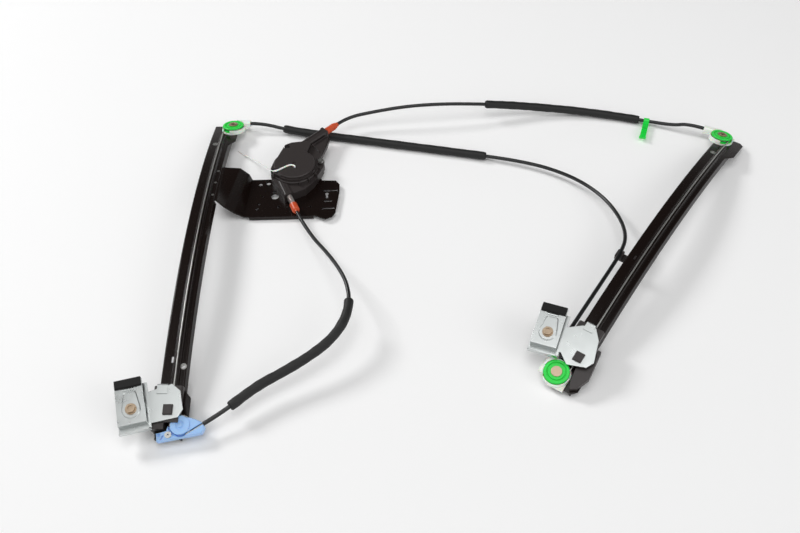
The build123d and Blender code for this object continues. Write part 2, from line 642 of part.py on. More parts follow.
def plate_rivet_places():
    """Rivets that join the plate to the left rail."""
    low, high = foot_at(PLATE_LOW_Y) + 10, foot_at(PLATE_HIGH_Y) - 10
    return [wire_frame(LEFT, place) * Pos(7.6, 0, 0) for place in (low, (low + high) / 2, high)]


def build_plate_rivets():
    """Flat-headed rivets between the rail and the mounting plate."""
    low = WEB_TOP - 2 * SHEET - 1.05
    rivet = cylinder(PLATE_RIVET_RADIUS, low, WEB_TOP) + cylinder(3.4, low, low + 1.0)
    return [place * rivet for place in plate_rivet_places()]


# ---------------------------------------------------------------- drum and drum housing

def drum_line(direction, distance, height, side=1):
    """Point on the wire that leaves the drum in a direction, at a distance from its tangent point."""
    touch = unit(direction + 90 * side) * DRUM_RADIUS
    along = unit(direction) * distance
    x, y = DRUM_CENTRE[0] + touch.X + along.X, DRUM_CENTRE[1] + touch.Y + along.Y
    return Vector(x, y, height)


def upper_line(distance):
    """Point on the upper cable, beyond its tangent point on the drum."""
    return drum_line(UPPER_EXIT, distance, UPPER_EXIT_Z)


def lower_line(distance):
    """Point on the lower cable, beyond its tangent point on the drum."""
    return drum_line(LOWER_EXIT, distance, LOWER_EXIT_Z, -1)


def exit_frame(point, direction):
    """Frame with X along an outgoing cable."""
    return Pos(point) * Rot(0, 0, direction)


HOUSING_OUTLINE = [(-16.1, 41.5), (-33.6, -7.3), (-32.6, -19.0), (-15.5, -47.0), (-12.3, -55.4),
                   (1.1, -50.1), (16.5, -42.0), (28.0, -27.0), (36.5, -8.0), (41.0, 3.0),
                   (40.5, 14.0), (35.5, 20.0), (45.0, 50.0), (48.0, 66.0), (33.0, 75.0),
                   (12.5, 56.0), (-7.2, 46.4)]
ROOF_OUTLINE = [(-16.1, 41.5), (-33.6, -7.3), (-32.9, -16.0), (-20.0, -24.0), (10.0, -10.0),
                (18.0, 30.0), (22.0, 45.0), (13.8, 49.1), (-7.2, 46.4)]
SHOULDER_OUTLINE = [(8.0, 44.0), (34.0, 12.0), (35.0, 20.0), (43.4, 50.0), (46.0, 65.0), (33.0, 74.0)]
HOUSING_DOME, HOUSING_ROOF = 31.0, 30.2
HOUSING_SKIRT = 20.0
TERRACE_RADIUS, TERRACE_TOP = 33.5, 24.0
SHOULDER_TOP = 22.5
ARM_UNDERSIDE = 13.8
SCREW_SEAT = 22.5
EARS = [(-13.0, 37.0), (-28.6, -14.0), (37.0, 11.5)]


def arm_channel(reach, low, ribbed):
    """Rounded bar round an outgoing cable, along X, with a ridge beside its crown."""
    bar = block((0, reach), (-6.5, 6.5), (low, 6.0))
    bar = fillet(bar.edges().filter_by(Axis.X).group_by(Axis.Z)[-1], 3.0)
    for place in ribbed:
        bar += block((18.0, reach - 6.0), (place - 0.7, place + 0.7), (low, 2.6 if abs(place) > 6 else 6.8))
    collar = block((reach - 3.0, reach), (-7.2, 7.2), (low, 6.7))
    return bar + fillet(collar.edges().filter_by(Axis.X).group_by(Axis.Z)[-1], 3.0)


def build_drum_housing():
    """Moulded housing: drum chamber with a terrace round it, flat roof and two cable arms."""
    centre = Pos(DRUM_CENTRE[0], DRUM_CENTRE[1], 0)
    body = prism(HOUSING_OUTLINE, PLATE_TOP, HOUSING_SKIRT, 2.0)
    body += prism(SHOULDER_OUTLINE, PLATE_TOP, SHOULDER_TOP)
    terrace = cylinder(TERRACE_RADIUS, PLATE_TOP, TERRACE_TOP)
    body += chamfer(terrace.edges().group_by(Axis.Z)[-1], 0.8)
    roof = prism(ROOF_OUTLINE, PLATE_TOP, HOUSING_ROOF, 2.0)
    body += chamfer(roof.edges().group_by(Axis.Z)[-1], 0.8)
    dome = cylinder(DOME_RADIUS, PLATE_TOP, HOUSING_DOME)
    body += chamfer(dome.edges().group_by(Axis.Z)[-1], 0.9)
    step = cylinder(DOME_RADIUS + 2.0, PLATE_TOP, HOUSING_DOME - 3.4)
    body += step
    body = centre * body
    body += exit_frame(upper_line(0), UPPER_EXIT) * arm_channel(UPPER_ARM, -7.5, (2.4, -9.5))
    body += exit_frame(lower_line(0), LOWER_EXIT) * arm_channel(LOWER_ARM, -8.5, (-1.2,))
    rib = slot((21.0, 50.7), (33.7, 31.5), 1.3, PLATE_TOP, SHOULDER_TOP + 2.4)
    for angle in RIB_ANGLES:
        start, stop = unit(angle) * (DOME_RADIUS - 1), unit(angle) * (TERRACE_RADIUS + 3.6)
        rib += slot((start.X, start.Y), (stop.X, stop.Y), 1.4, PLATE_TOP, TERRACE_TOP + 1.4)
    body += centre * rib
    under_arm = [(12.0, 60.0), (26.0, 22.0), (60.0, 22.0), (60.0, 100.0), (20.0, 100.0)]
    body -= centre * prism(under_arm, 0, ARM_UNDERSIDE)
    body -= centre * prism([(-40.0, 34.0), (11.0, 34.0), (11.0, 70.0), (-40.0, 70.0)], 0, ARM_UNDERSIDE)
    for x, y in EARS:
        foot = PLATE_TOP if y < 20 else ARM_UNDERSIDE
        body += centre * cylinder(5.0, foot, SCREW_SEAT, (x, y))
        body -= centre * cylinder(SCREW_RADIUS, 0, 40, (x, y))
        body -= centre * cylinder(4.5, SCREW_SEAT, 40, (x, y))
    body -= centre * cylinder(DRUM_RADIUS + 2.6, 0, DRUM_HIGH + 0.6)
    body += centre * cylinder(5.0, DRUM_HIGH - 6.0, HOUSING_ROOF)
    body -= centre * cylinder(3.2, HOUSING_DOME - 0.8, 40)
    for line, angle, reach in ((upper_line, UPPER_EXIT, UPPER_ARM), (lower_line, LOWER_EXIT, LOWER_ARM)):
        bore = Pos(reach / 2 + 2, 0, 0) * Rot(0, 90, 0) * Cylinder(1.4, reach + 8)
        body -= exit_frame(line(0), angle) * bore
        pocket = Pos(reach - 8, 0, 0) * Rot(0, 90, 0) * Cylinder(4.2, 16.2)
        body -= exit_frame(line(0), angle) * pocket
    return body


DOME_RADIUS = 29.3
RIB_ANGLES = (-75, -52, -29, -6)


def build_housing_screws():
    """Pan-head screws down through the housing's ears."""
    seat, cross = SCREW_SEAT, SCREW_SEAT + 1.2
    screw = cylinder(SCREW_RADIUS, 4.0, seat) + cylinder(4.2, seat, seat + 2.4)
    screw -= block((-0.6, 0.6), (-2.4, 2.4), (cross, 40)) + block((-2.4, 2.4), (-0.6, 0.6), (cross, 40))
    return [Pos(DRUM_CENTRE[0] + x, DRUM_CENTRE[1] + y, 0) * screw for x, y in EARS]


SCREW_RADIUS = 2.6


def build_drum():
    """Cable drum with a spiral groove's ridges and a bore for the motor's shaft."""
    outer, floor = DRUM_RADIUS + 1.4, DRUM_RADIUS - WIRE_D / 2
    pitch = 3.0
    points = [(MOTOR_BORE, DRUM_LOW), (outer, DRUM_LOW), (outer, DRUM_LOW + 1.2)]
    groove = DRUM_LOW + 2.2
    while groove < DRUM_HIGH - 2.0:
        points += [(floor, groove - 0.6), (floor, groove + 0.6), (outer, groove + 1.5)]
        groove += pitch
    points += [(outer, DRUM_HIGH), (MOTOR_BORE - 2.0, DRUM_HIGH), (MOTOR_BORE - 2.0, DRUM_HIGH - 7.0),
               (MOTOR_BORE, DRUM_HIGH - 7.0)]
    drum = revolve(Plane.XZ * make_face(Polyline(*points, close=True)), Axis.Z)
    return Pos(DRUM_CENTRE[0], DRUM_CENTRE[1], 0) * drum


MOTOR_BORE = 5.0 + FIT + 2.0


def build_ferrules():
    """End pieces of the outer cables in the two arms of the drum housing, and their springs."""
    upper = [(1.3, -10.0), (2.6, -10.0), (2.6, 0.2), (4.3, 0.2), (4.3, 3.0)]
    for ring in range(4):
        start = 3.0 + 4.2 * ring
        upper += [(5.2, start + 0.4), (5.2, start + 2.2), (4.5, start + 2.6), (4.5, start + 4.2)]
    upper += [(4.5, 21.0), (3.4, 22.0), (3.4, UPPER_FERRULE), (1.3, UPPER_FERRULE)]
    cap, tail = LOWER_FERRULE - 17.0, LOWER_FERRULE - 3.0
    lower = [(1.3, -10.0), (2.4, -10.0), (2.4, cap), (4.6, cap), (5.3, cap + 0.8), (5.3, tail - 1.0),
             (4.4, tail), (3.4, tail), (3.4, LOWER_FERRULE), (1.3, LOWER_FERRULE)]
    arms = (("upper", upper_line, UPPER_EXIT, UPPER_ARM, upper, (-12.0, -0.4), 5),
            ("lower", lower_line, LOWER_EXIT, LOWER_ARM, lower, (-1.6, cap - 0.2), 8))
    nodes = {}
    for name, line, angle, reach, profile, span, rings in arms:
        face = make_face(Polyline(*profile, close=True))
        body = Rot(0, 90, 0) * revolve(Plane.XZ * face, Axis.Z)
        nodes[name + "_ferrule"] = exit_frame(line(reach), angle) * body
        spring = Rot(0, 90, 0) * ring_spring(3.6, 0.55, span, rings)
        nodes[name + "_spring"] = exit_frame(line(reach), angle) * spring
    return nodes


def ring_spring(radius, half, span, count):
    """Row of flat-sided rings standing for the turns of a small compression spring."""
    low, high = span
    pitch = (high - low - 2 * half) / (count - 1)
    section = Plane.XZ * Pos(radius, 0) * RegularPolygon(half, 6)
    ring = revolve(section, Axis.Z)
    return Compound(children=[Pos(0, 0, low + half + index * pitch) * ring for index in range(count)])


# ---------------------------------------------------------------- outer cables

def route_radii(points):
    """Arc radius at each inner corner: 0.45 of the shorter run over the tangent of half the turn."""
    vectors = [Vector(*point) for point in points]
    radii = []
    for before, corner, after in zip(vectors, vectors[1:], vectors[2:]):
        first, second = corner - before, after - corner
        turn = radians(first.get_angle(second))
        radii.append(0.45 * min(first.length, second.length) / (sin(turn / 2) / cos(turn / 2)))
    return radii


def beyond_seat(seat, distance=0.0):
    """Point on the outer cable's line, at a distance beyond its seat in a housing's nose."""
    point = nose_point(seat) + unit(seat.leave) * distance
    return tuple((end_frame(seat.rail, seat.end) * Pos(point)).position)


def beyond_ferrule(line, end, distance=0.0):
    """Point on the outer cable's line, at a distance beyond its ferrule."""
    return tuple(line(end + distance))


UPPER_END = UPPER_ARM + UPPER_FERRULE
LOWER_END = LOWER_ARM + LOWER_FERRULE
UPPER_ROUTE = [beyond_ferrule(upper_line, UPPER_END),
               beyond_ferrule(upper_line, UPPER_END, 22.0), (-122.0, 281.0, 27.0),
               (-72.0, 285.5, 32.5), (-20.0, 288.5, 33.0), (29.0, 291.7, 29.0),
               (80.0, 296.0, 22.0), (134.0, 298.0, 14.0), (189.0, 294.5, 8.6),
               (244.0, 283.5, 6.6), (293.0, 268.5, 6.5), (332.0, 253.0, 9.5),
               beyond_seat(RIGHT_HEAD, 24.0), beyond_seat(RIGHT_HEAD)]
CROSS_ROUTE = [beyond_seat(LEFT_HEAD), beyond_seat(LEFT_HEAD, 20.0), (-253.0, 266.6, 8.0),
               (-190.0, 251.6, 6.5), (-127.4, 237.4, 6.5), (-67.6, 223.8, 6.4),
               (-8.4, 210.1, 6.4), (45.5, 197.0, 7.0), (92.6, 182.0, 9.0), (134.5, 162.8, 11.0),
               (172.8, 133.0, 14.0), (200.6, 91.5, 19.0), (213.5, 46.4, 25.0),
               (213.0, 4.0, 33.0), rail_point(RIGHT, 200.5, -28.5, -11.6),
               rail_point(RIGHT, 158.5, -27.3, -9.5), rail_point(RIGHT, 115.8, -26.8, -6.4),
               rail_point(RIGHT, 72.8, -26.5, -3.2), beyond_seat(RIGHT_FOOT, 18.0),
               beyond_seat(RIGHT_FOOT)]
LOWER_ROUTE = [beyond_ferrule(lower_line, LOWER_END),
               beyond_ferrule(lower_line, LOWER_END, 16.0), (-202.0, 25.0, 22.0),
               (-184.0, -8.0, 33.0), (-168.0, -40.0, 41.0), (-154.8, -71.6, 45.5),
               (-150.0, -102.5, 45.5), (-155.5, -131.3, 42.5), (-172.2, -156.6, 37.5),
               (-197.1, -176.6, 33.0), (-227.7, -195.4, 28.5), (-258.0, -212.5, 26.0),
               beyond_seat(LEFT_FOOT, 26.0), beyond_seat(LEFT_FOOT)]


def cable_path(route):
    """Straight runs joined by tangent arcs through a route's points."""
    return FilletPolyline(*route, radius=route_radii(route))


def build_outer_cable(route):
    """Outer cable with the wire inside it."""
    return tube_along(cable_path(route), OUTER_CABLE_D / 2)


def build_foam(route, start, stop):
    """Foam tube on an outer cable, between two shares of its length."""
    path = cable_path(route).wire().trim(start, stop)
    return tube_along(path, FOAM_D / 2, FOAM_BORE_D / 2)


def cable_crossing(route, place, start, stop):
    """Where a cable crosses the XZ plane of a frame, in that frame, between two shares of it."""
    path = cable_path(route)
    for _ in range(20):
        middle = (start + stop) / 2
        point = (place.inverse() * Pos(path @ middle)).position
        start, stop = (middle, stop) if point.Y > 0 else (start, middle)
    return point


def build_rail_clip():
    """Plastic clip in the right rail's web; its arm passes under the lip to hold the cross cable."""
    place = wire_frame(RIGHT, CLIP_PLACE)
    hold = cable_crossing(CROSS_ROUTE, place, 0.6, 0.95)
    bottom = CLIP_BOTTOM
    clip = block((hold.X - 4.4, -8.0), (-CLIP_HALF, CLIP_HALF), (bottom, bottom + 1.8))
    clip += block((-9.6, -7.4), (-3.0, 3.0), (bottom, WEB_TOP - 0.2))
    under = WEB_TOP - SHEET - 0.1
    clip += block((-12.0, -5.0), (-5.0, 5.0), (under - 1.5, under))
    clip += block((hold.X - 4.4, hold.X + 4.4), (-CLIP_HALF, CLIP_HALF), (bottom, hold.Z + 1.0))
    path = cable_path(CROSS_ROUTE)
    way = tube_along(path.wire().trim(0.6, 0.95), OUTER_CABLE_D / 2 + 0.1)
    return place * clip - way - place * block((hold.X - 2.2, hold.X + 2.2), (-9, 9),
                                              (hold.Z, hold.Z + 9))


def build_cable_clip():
    """Moulded clip on the upper cable: a split ring and a flat tongue that snaps into the door."""
    path = cable_path(UPPER_ROUTE)
    along = path % CABLE_CLIP_SHARE
    upright = (Vector(0, 0, 1) - along * along.Z).normalized()
    place = Plane(origin=path @ CABLE_CLIP_SHARE, x_dir=along, z_dir=upright).location
    ring = Rot(0, 90, 0) * (Cylinder(4.4, 8.0) - Cylinder(OUTER_CABLE_D / 2 + 0.02, 9.0))
    half = 4.2
    tongue = block((-half, half), (-41.0, -3.4), (-1.6, 0.8))
    tongue += block((-half, half), (-24.0, -21.0), (-1.6, 2.2))
    tongue += block((-half - 0.8, half + 0.8), (-41.0, -38.6), (-1.6, 1.8))
    tongue -= block((-half + 1.4, half - 1.4), (-20.0, -17.0), (-3, 3))
    for y in (-14.0, -10.0, -28.0, -32.0):
        tongue += block((-half, half), (y - 0.5, y + 0.5), (0.8, 1.4))
    return place * (ring + tongue)


def build_strap():
    """Nylon strap that holds the drum still in transport: a thin tail, and a band over the dome."""
    x, y = DRUM_CENTRE
    level = HOUSING_DOME + STRAP_RADIUS
    tail = [(x - 90.8, y + 62.1, 1.2), (x - 64.6, y + 36.6, 6.5), (x - 48.6, y + 14.0, 18.0),
            (x - 38.5, y - 5.0, 28.0), (x - 31.0, y - 16.5, level), (x - 24.0, y - 17.6, level)]
    band = [(x - 30.0, y - 17.4, level), (x - 22.5, y - 15.6, level), (x - 13.8, y - 9.3, level),
            (x - 5.6, y - 4.6, level), (x + 0.4, y - 6.4, level), (x + 1.6, y - 9.6, level)]
    return tube_along(cable_path(tail), STRAP_RADIUS * 0.6) + tube_along(cable_path(band), STRAP_RADIUS)


STRAP_RADIUS = 1.2
CABLE_CLIP_SHARE = 0.85
CLIP_PLACE = 199.0          # length from the right rail's foot
CLIP_BOTTOM = -18.2
CLIP_HALF = 6.0


# ---------------------------------------------------------------- build

def build_parts():
    """Every node by name."""
    parts = {
        "left_rail": build_rail(LEFT, (LEFT_HEAD,)),
        "right_rail": build_rail(RIGHT, (RIGHT_HEAD, RIGHT_FOOT)),
        "rail_inserts": build_inserts(),
        "mounting_plate": build_plate(),
        "plate_rivets": build_plate_rivets(),
        "rail_clip": build_rail_clip(),
        "cable_clip": build_cable_clip(),
        "transport_strap": build_strap(),
        "foot_guide": build_foot_guide(LEFT_FOOT),
        "foot_guide_rivet": build_guide_rivet(LEFT_FOOT),
        "foot_buffer": build_buffer(),
        "left_wire": build_wire(LEFT, LEFT_HEAD, LEFT_FOOT),
        "right_wire": build_wire(RIGHT, RIGHT_HEAD, RIGHT_FOOT),
        "drum_housing": build_drum_housing(),
        "housing_screws": build_housing_screws(),
        "cable_drum": build_drum(),
        "upper_outer_cable": build_outer_cable(UPPER_ROUTE),
        "cross_outer_cable": build_outer_cable(CROSS_ROUTE),
        "lower_outer_cable": build_outer_cable(LOWER_ROUTE),
        "upper_foam": build_foam(UPPER_ROUTE, 0.41, 0.83),
        "cross_foam": build_foam(CROSS_ROUTE, 0.06, 0.42),
        "lower_foam": build_foam(LOWER_ROUTE, 0.46, 0.92),
    }
    for seat in (LEFT_HEAD, RIGHT_HEAD, RIGHT_FOOT):
        parts[seat.name + "_pulley"] = build_pulley(seat)
        parts[seat.name + "_housing"] = build_pulley_housing(seat)
    parts["pulley_rivets"] = [build_pulley_rivet(seat) for seat in (LEFT_HEAD, RIGHT_HEAD, RIGHT_FOOT)]
    parts.update(build_ferrules())
    for rail in (LEFT, RIGHT):
        parts[rail.name + "_slider"] = build_slider(rail)
        parts[rail.name + "_bracket"] = build_bracket(rail)
        parts[rail.name + "_jaw"] = build_jaw(rail)
        parts[rail.name + "_clamp_bolt"] = build_clamp_bolt(rail)
        parts[rail.name + "_clamp_nut"] = build_clamp_nut(rail)
        parts[rail.name + "_inner_pad"] = build_inner_pad(rail)
        parts[rail.name + "_outer_pad"] = build_outer_pad(rail)
        parts[rail.name + "_retainer"] = build_retainer(rail)
    return parts


def as_shape(piece):
    """One shape from a solid or a list of separate solids."""
    if not isinstance(piece, list):
        return piece
    return Compound(children=[solid for entry in piece for solid in entry.solids()])


def main():
    """Write one STEP file for each node."""
    os.makedirs("parts", exist_ok=True)
    for name, route in (("upper", UPPER_ROUTE), ("cross", CROSS_ROUTE), ("lower", LOWER_ROUTE)):
        print(name, "route radii", [round(radius) for radius in route_radii(route)])
    for name, piece in build_parts().items():
        export_step(Pos(*FOOTPRINT_SHIFT) * as_shape(piece), f"parts/{name}.step")


if __name__ == "__main__":
    main()
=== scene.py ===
"""Dresses the window regulator: its finishes, cables, ropes, springs and the studio."""

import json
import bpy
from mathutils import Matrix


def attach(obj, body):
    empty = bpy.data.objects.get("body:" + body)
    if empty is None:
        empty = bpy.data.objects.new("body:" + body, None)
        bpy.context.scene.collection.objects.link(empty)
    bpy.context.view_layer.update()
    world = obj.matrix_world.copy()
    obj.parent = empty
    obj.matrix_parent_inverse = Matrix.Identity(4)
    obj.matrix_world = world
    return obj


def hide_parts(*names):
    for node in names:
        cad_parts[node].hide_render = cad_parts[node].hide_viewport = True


bl_info = {
    "name": "Window regulator dressing",
    "version": (1, 0, 0),
    "blender": (4, 5, 0),
    "location": "View3D > Sidebar > Regulator",
    "description": "Finishes, outer cables, wire ropes and springs of a cable window regulator",
    "category": "Object",
}

from math import asin, radians

import bpy
import numpy as np
from bpy.props import FloatProperty, FloatVectorProperty, IntProperty, PointerProperty
from bpy.types import Operator, Panel, PropertyGroup
from mathutils import Matrix, Vector

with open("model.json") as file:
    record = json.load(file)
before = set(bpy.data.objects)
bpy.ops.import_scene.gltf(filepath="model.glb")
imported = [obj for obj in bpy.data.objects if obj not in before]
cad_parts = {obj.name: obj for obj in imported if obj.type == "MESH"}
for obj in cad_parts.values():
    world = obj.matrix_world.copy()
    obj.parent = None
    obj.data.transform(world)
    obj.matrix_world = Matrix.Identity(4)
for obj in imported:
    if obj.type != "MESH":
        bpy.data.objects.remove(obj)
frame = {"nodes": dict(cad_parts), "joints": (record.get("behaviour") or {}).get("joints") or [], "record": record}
JOINTS = {joint["name"]: joint for joint in frame["joints"]}

MM = 0.001

# ---------------------------------------------------------------- sizes, in millimetres

# The parts are drawn about a point near the regulator's middle; this moves a drawn point to the
# row's frame.
SHIFT = np.array([-1.108, -4.069, 0.0257])

RAIL_RADIUS = 1000.0
GROOVE_RADIUS = 12.5
WIRE_CHORD = {"left": 525.0, "right": 509.5}
HEAD, FOOT = 1, -1

# Outgoing cables: rail, end, side of the pulley, direction in degrees from across, straight run.
SEATS = {
    "left_head": ("left", HEAD, 1, -3.0, 24.0),
    "right_head": ("right", HEAD, -1, 192.6, 27.5),
    "right_foot": ("right", FOOT, -1, 92.0, 20.0),
    "left_foot": ("left", FOOT, 1, 33.0, 23.0),
}

DRUM_CENTRE = np.array([-235.0, 166.0])
DRUM_RADIUS = 25.0
# Cables at the drum housing: direction, arm length, ferrule length, height, side of the drum
# they leave on.
ARMS = {"upper": (45.0, 83.0, 25.0, 22.0, 1), "lower": (-68.0, 47.0, 33.0, 15.5, -1)}

# Spring behind each ferrule: its ends as distances beyond the arm's end, and its turns.
SPRINGS = {"upper": (-12.0, -0.4, 5.5), "lower": (-1.6, 15.8, 8.5)}
SPRING_RADIUS = 3.6
SPRING_WIRE_RADIUS = 0.52
# From the end of a spring to the centre of its first and last turn.
SPRING_INSET = 0.55

# Foam sleeve: clearance round the cable, and the skin's depth below the full radius, its unevenness
# and the waves of it along the sleeve.
FOAM_CLEARANCE = 0.2
FOAM_DEPTH = 0.25
FOAM_UNEVEN = 0.22
FOAM_WAVES = (9, 4)
FOAM_PHASE = 1.0
# How far the sleeve's ends are rounded, ring by ring from the end.
FOAM_ROUNDING = np.array([1.4, 0.7, 0.4])
FOAM_ROWS, FOAM_COLUMNS = 260, 32
# Points taken on a cable's route before a stretch of it is spaced evenly.
ROUTE_POINTS = 900

# Radius between two strands of the rope, as a share of the full radius.
ROPE_VALLEY = 0.86
ROPE_ROWS = 1800
COLUMNS_PER_STRAND = 4
# Points along a rail's arc, and round a pulley.
ARC_POINTS = 300
BEND_POINTS = 24

COIL_ROWS, COIL_COLUMNS = 260, 8

TABLE_HALF = 4e3


def unit(angle):
    """Plan direction at an angle in degrees."""
    return np.array([np.cos(radians(angle)), np.sin(radians(angle)), 0.0])


def rail_axes(side):
    """Arc centre in millimetres, and the directions across and towards the head, of one rail."""
    joint = JOINTS[side + "_lift"]
    across = -np.array(joint["axis"])
    along = np.cross([0.0, 0.0, 1.0], across)
    return np.array(joint["pos_m"]) / MM, across, along


def rail_points(side, length, across=0.0, out=0.0):
    """Points on a rail, from lengths of wire measured from its foot.

    A length turns the arc's radius by length / radius from the foot; the point lies along that
    radius, carried across.
    """
    centre, x_axis, y_axis = rail_axes(side)
    half = asin(WIRE_CHORD[side] / 2 / RAIL_RADIUS)
    angle = np.asarray(length, float)[..., None] / RAIL_RADIUS - half
    radius = RAIL_RADIUS + np.asarray(out, float)[..., None]
    radial = np.sin(angle) * y_axis + np.cos(angle) * np.array([0.0, 0.0, 1.0])
    return centre + radius * radial + np.asarray(across, float)[..., None] * x_axis


def wire_length(side):
    """Length of wire between a rail's two tangent points."""
    return 2 * asin(WIRE_CHORD[side] / 2 / RAIL_RADIUS) * RAIL_RADIUS


def end_axes(side, end):
    """Origin and three directions of the frame at a tangent point: across, along and out."""
    length = wire_length(side) if end == HEAD else 0.0
    origin = rail_points(side, length)
    out = rail_points(side, length, out=1.0) - origin
    across = rail_axes(side)[1]
    return origin, across, np.cross(out, across), out


def end_points(side, end, local):
    """Points given in an end frame, taken to the row's frame in millimetres."""
    origin, across, along, out = end_axes(side, end)
    local = np.asarray(local, float)
    return origin + local @ np.array([across, along, out])


def leave_point(seat):
    """Where the outgoing wire leaves a pulley, in its end frame."""
    _, end, side, leave, _ = SEATS[seat]
    turn = 90 if side * end > 0 else -90
    return np.array([side * GROOVE_RADIUS, 0.0, 0.0]) + GROOVE_RADIUS * unit(leave + turn)


def beyond_seat(seat, distance=0.0):
    """Point on an outer cable's line, at a distance beyond its seat in a pulley housing."""
    rail, end, _, leave, nose = SEATS[seat]
    return end_points(rail, end, leave_point(seat) + (nose + distance) * unit(leave))


def beyond_arm(arm, distance=0.0):
    """Point on an outer cable's line, at a distance beyond its arm of the drum housing."""
    direction, reach, _, height, side = ARMS[arm]
    touch = DRUM_RADIUS * unit(direction + 90 * side)
    point = touch + (reach + distance) * unit(direction)
    return point + np.array([*DRUM_CENTRE, height]) + SHIFT


def beyond_ferrule(arm, distance=0.0):
    """Point on an outer cable's line, at a distance beyond its ferrule."""
    return beyond_arm(arm, ARMS[arm][2] + distance)


def drawn(*points):
    """Points of the drawing, moved to the row's frame."""
    return [np.array(point) + SHIFT for point in points]


# ---------------------------------------------------------------- cable routes, in millimetres

ROUTES = {
    "upper": [beyond_ferrule("upper"), beyond_ferrule("upper", 22.0)]
    + drawn((-122.0, 281.0, 27.0), (-72.0, 285.5, 32.5), (-20.0, 288.5, 33.0),
            (29.0, 291.7, 29.0), (80.0, 296.0, 22.0), (134.0, 298.0, 14.0), (189.0, 294.5, 8.6),
            (244.0, 283.5, 6.6), (293.0, 268.5, 6.5), (332.0, 253.0, 9.5))
    + [beyond_seat("right_head", 24.0), beyond_seat("right_head")],
    "cross": [beyond_seat("left_head"), beyond_seat("left_head", 20.0)]
    + drawn((-253.0, 266.6, 8.0), (-190.0, 251.6, 6.5), (-127.4, 237.4, 6.5),
            (-67.6, 223.8, 6.4), (-8.4, 210.1, 6.4), (45.5, 197.0, 7.0), (92.6, 182.0, 9.0),
            (134.5, 162.8, 11.0), (172.8, 133.0, 14.0), (200.6, 91.5, 19.0), (213.5, 46.4, 25.0),
            (213.0, 4.0, 33.0))
    + [rail_points("right", 200.5, -28.5, -11.6), rail_points("right", 158.5, -27.3, -9.5),
       rail_points("right", 115.8, -26.8, -6.4), rail_points("right", 72.8, -26.5, -3.2),
       beyond_seat("right_foot", 18.0), beyond_seat("right_foot")],
    "lower": [beyond_ferrule("lower"), beyond_ferrule("lower", 16.0)]
    + drawn((-202.0, 25.0, 22.0), (-184.0, -8.0, 33.0), (-168.0, -40.0, 41.0),
            (-154.8, -71.6, 45.5), (-150.0, -102.5, 45.5), (-155.5, -131.3, 42.5),
            (-172.2, -156.6, 37.5), (-197.1, -176.6, 33.0), (-227.7, -195.4, 28.5),
            (-258.0, -212.5, 26.0))
    + [beyond_seat("left_foot", 26.0), beyond_seat("left_foot")],
}
# Shares of a cable's length between which its foam sleeve lies.
FOAM_SPAN = {"upper": (0.41, 0.83), "cross": (0.06, 0.42), "lower": (0.46, 0.92)}


# ---------------------------------------------------------------- settings

def colour(name, description, value):
    """Colour property that holds an sRGB hex value."""
    return FloatVectorProperty(name=name, description=description, default=linear(value),
                               size=3, min=0.0, max=1.0, subtype="COLOR")


def linear(value):
    """Linear colour of an sRGB hex value."""
    channels = np.array([int(value[k:k + 2], 16) for k in (1, 3, 5)]) / 255
    low = channels / 12.92
    high = ((channels + 0.055) / 1.055) ** 2.4
    return tuple(float(c) for c in np.where(channels <= 0.04045, low, high))


def length(name, description, value):
    """Length property in metres from a default in millimetres."""
    return FloatProperty(name=name, description=description, default=value * MM, min=0.0,
                         unit="LENGTH", precision=4)


class RegulatorColours(PropertyGroup):
    """Colours of the regulator's finishes."""

    paint: colour("Rail paint", "Electrocoat on the rails and the mounting plate", "#140b08")
    moulding: colour("Black moulding", "Drum housing, sliders, buffer and rail clip", "#2c2625")
    zinc: colour("Zinc", "Zinc plate on the brackets, jaws and retainers", "#ccd0cf")
    yellow_zinc: colour("Yellow zinc", "Passivated pulley rivets and clamp bolts", "#b7a38c")
    steel: colour("Steel", "Rope, springs, nuts, bushes and small fasteners", "#b9b9b6")
    rubber: colour("Rubber", "Liners of the glass clamps", "#0c0b0b")
    green: colour("Green acetal", "Guide pulleys and the clip on the upper cable", "#1ad845")
    milky: colour("Milky acetal", "Pulley housings, the drum and the strap", "#eef2ea")
    blue: colour("Blue acetal", "Guide at the foot of the left rail", "#9cc4f2")
    orange: colour("Orange nylon", "Ferrules of the outer cables", "#c8502a")
    sheath: colour("Cable sheath", "Outer cables", "#0e0e0f")
    foam: colour("Foam", "Sleeves on the outer cables", "#161616")


class RegulatorSizes(PropertyGroup):
    """Sizes of the dressed pieces."""

    cable: length("Outer cable", "Diameter of the outer cables", 5.2)
    foam: length("Foam sleeve", "Diameter of the foam sleeves", 12.5)
    wire: length("Wire rope", "Diameter of the bare drive wire", 1.8)
    strands: IntProperty(name="Strands", description="Strands of the wire rope", default=6, min=3)
    lay: length("Rope lay", "Length of one turn of a strand", 14.0)


class RegulatorStage(PropertyGroup):
    """Studio settings."""

    focal: FloatProperty(name="Focal length", description="Camera lens", default=42.18,
                         unit="CAMERA")
    pitch: FloatProperty(name="Pitch", description="Camera angle below the horizon",
                         default=radians(48.715), unit="ROTATION")
    roll: FloatProperty(name="Roll", description="Camera turned about its axis",
                        default=radians(-1.432), unit="ROTATION")
    floor: colour("Table", "White table the regulator lies on", "#fcfcfc")


# ---------------------------------------------------------------- meshes

